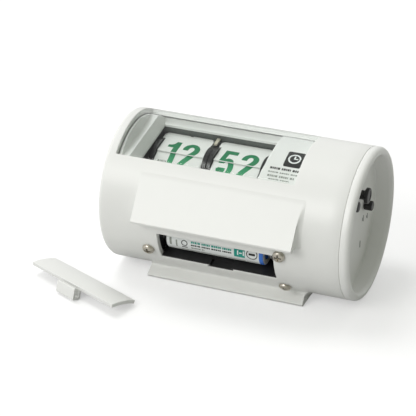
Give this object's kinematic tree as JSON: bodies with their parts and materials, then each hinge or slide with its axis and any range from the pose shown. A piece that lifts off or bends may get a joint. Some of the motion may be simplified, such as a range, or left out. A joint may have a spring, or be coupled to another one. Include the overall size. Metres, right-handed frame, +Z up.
{
  "type": "flip number clock",
  "caption": "Cylinder-cased flip number clock with split-flap hour and minute cards behind a curved window, two standing feet, end-panel controls and a loose battery door.",
  "frame": {"origin": "on the table, under the middle of the box that holds the clock and its loose battery door, with the clock lying on its back; the middle of the casing's axis is 16.5 mm towards +X and 14.6 mm towards +Y of it", "axes": "+X along the casing axis towards the end panel with the controls, -Y towards the battery bay and the two feet, +Z up from the table. Turning the clock 63.5 degrees about +X stands it on its feet with the numbers facing forward"},
  "size_m": [0.1586, 0.1032, 0.074],
  "materials": {
    "shell_white": "satin moulded, soft highlights",
    "lens_clear": "clear polished acrylic",
    "mask_white": "fine matt",
    "card_white": "smooth card with printed numerals",
    "black_plastic": "semi-gloss moulded",
    "screw_nickel": "warm nickel plate, turned",
    "steel": "drawn and turned",
    "brass": "machined",
    "acetal": "natural moulded",
    "dark_green_grey": "matt",
    "cell_label": "printed sleeve",
    "board_green": "solder mask"
  },
  "bodies": {
    "casing": {"main_shell": "shell_white", "right_end_cap": "shell_white", "lens_window": "lens_clear", "display_mask": "mask_white", "chassis_screw_1": "screw_nickel", "chassis_screw_2": "screw_nickel", "chassis_screw_3": "screw_nickel", "battery_tray": "black_plastic", "battery_spring": "steel", "positive_contact": "steel", "left_frame_plate": "black_plastic", "right_frame_plate": "black_plastic", "frame_pillar_1": "steel", "frame_pillar_2": "steel", "frame_pillar_3": "steel", "hour_leaf_pack": "card_white", "minute_leaf_pack": "card_white", "hour_lower_leaf": "card_white", "minute_lower_leaf": "card_white", "finger_bar": "dark_green_grey", "hour_finger": "acetal", "minute_finger": "acetal", "carry_stud": "steel", "reduction_stud": "steel", "alarm_switch": "black_plastic", "motor_case": "steel", "circuit_board": "board_green", "clock_chip": "black_plastic", "crystal_can": "steel", "sounder": "black_plastic"},
    "minute_train": {"main_shaft": "steel", "minute_drum": "black_plastic", "minute_pinion": "brass", "minute_gear": "brass", "time_set_knob": "black_plastic"},
    "hour_train": {"hour_drum": "black_plastic", "hour_gear": "brass"},
    "carry_wheel": {"carry_gear": "acetal"},
    "reduction_wheel": {"reduction_gear": "acetal"},
    "motor_rotor": {"motor_pinion": "brass"},
    "alarm_setting": {"alarm_knob": "black_plastic", "alarm_cam": "acetal"},
    "alarm_push": {"alarm_button": "black_plastic"},
    "hour_flap": {"hour_upper_leaf": "card_white"},
    "minute_flap": {"minute_upper_leaf": "card_white"},
    "cell": {"battery_cell": "cell_label"},
    "door": {"battery_door": "shell_white"}
  },
  "joints": [
    {"name": "minute_drum_turn", "type": "hinge", "parent": "casing", "child": "minute_train", "pos_m": [0.0165, 0.02059, 0.0486], "axis": [1, 0, 0], "continuous": true},
    {"name": "hour_drum_turn", "type": "hinge", "parent": "casing", "child": "hour_train", "pos_m": [0.0165, 0.02059, 0.0486], "axis": [1, 0, 0], "continuous": true},
    {"name": "carry_gear_turn", "type": "hinge", "parent": "casing", "child": "carry_wheel", "pos_m": [0.0165, 0.03468, 0.04347], "axis": [1, 0, 0], "continuous": true},
    {"name": "reduction_gear_turn", "type": "hinge", "parent": "casing", "child": "reduction_wheel", "pos_m": [0.0165, 0.03468, 0.04347], "axis": [1, 0, 0], "continuous": true},
    {"name": "motor_turn", "type": "hinge", "parent": "casing", "child": "motor_rotor", "pos_m": [0.0165, 0.03468, 0.02847], "axis": [1, 0, 0], "continuous": true},
    {"name": "alarm_set_turn", "type": "hinge", "parent": "casing", "child": "alarm_setting", "pos_m": [0.0165, 0.02999, 0.0386], "axis": [1, 0, 0], "continuous": true},
    {"name": "alarm_button_push", "type": "slide", "parent": "casing", "child": "alarm_push", "axis": [-1, 0, 0], "range_m": [0, 0.0015]},
    {"name": "hour_leaf_fall", "type": "hinge", "parent": "casing", "child": "hour_flap", "pos_m": [0.0165, 0.01549, 0.05605], "axis": [1, 0, 0], "range_deg": [0, 198]},
    {"name": "minute_leaf_fall", "type": "hinge", "parent": "casing", "child": "minute_flap", "pos_m": [0.0165, 0.01549, 0.05605], "axis": [1, 0, 0], "range_deg": [0, 198]},
    {"name": "battery_slide", "type": "slide", "parent": "casing", "child": "cell", "axis": [0, -0.9342, -0.3567], "range_m": [0, 0.03]},
    {"name": "door_lift", "type": "slide", "parent": "casing", "child": "door", "axis": [0, 0, 1], "range_m": [0, 0.04]}
  ],
  "couplings": [
    {"joint": "carry_gear_turn", "follows": "minute_drum_turn", "ratio": -0.25},
    {"joint": "hour_drum_turn", "follows": "minute_drum_turn", "ratio": 0.041667},
    {"joint": "reduction_gear_turn", "follows": "minute_drum_turn", "ratio": -4},
    {"joint": "motor_turn", "follows": "minute_drum_turn", "ratio": 16}
  ]
}
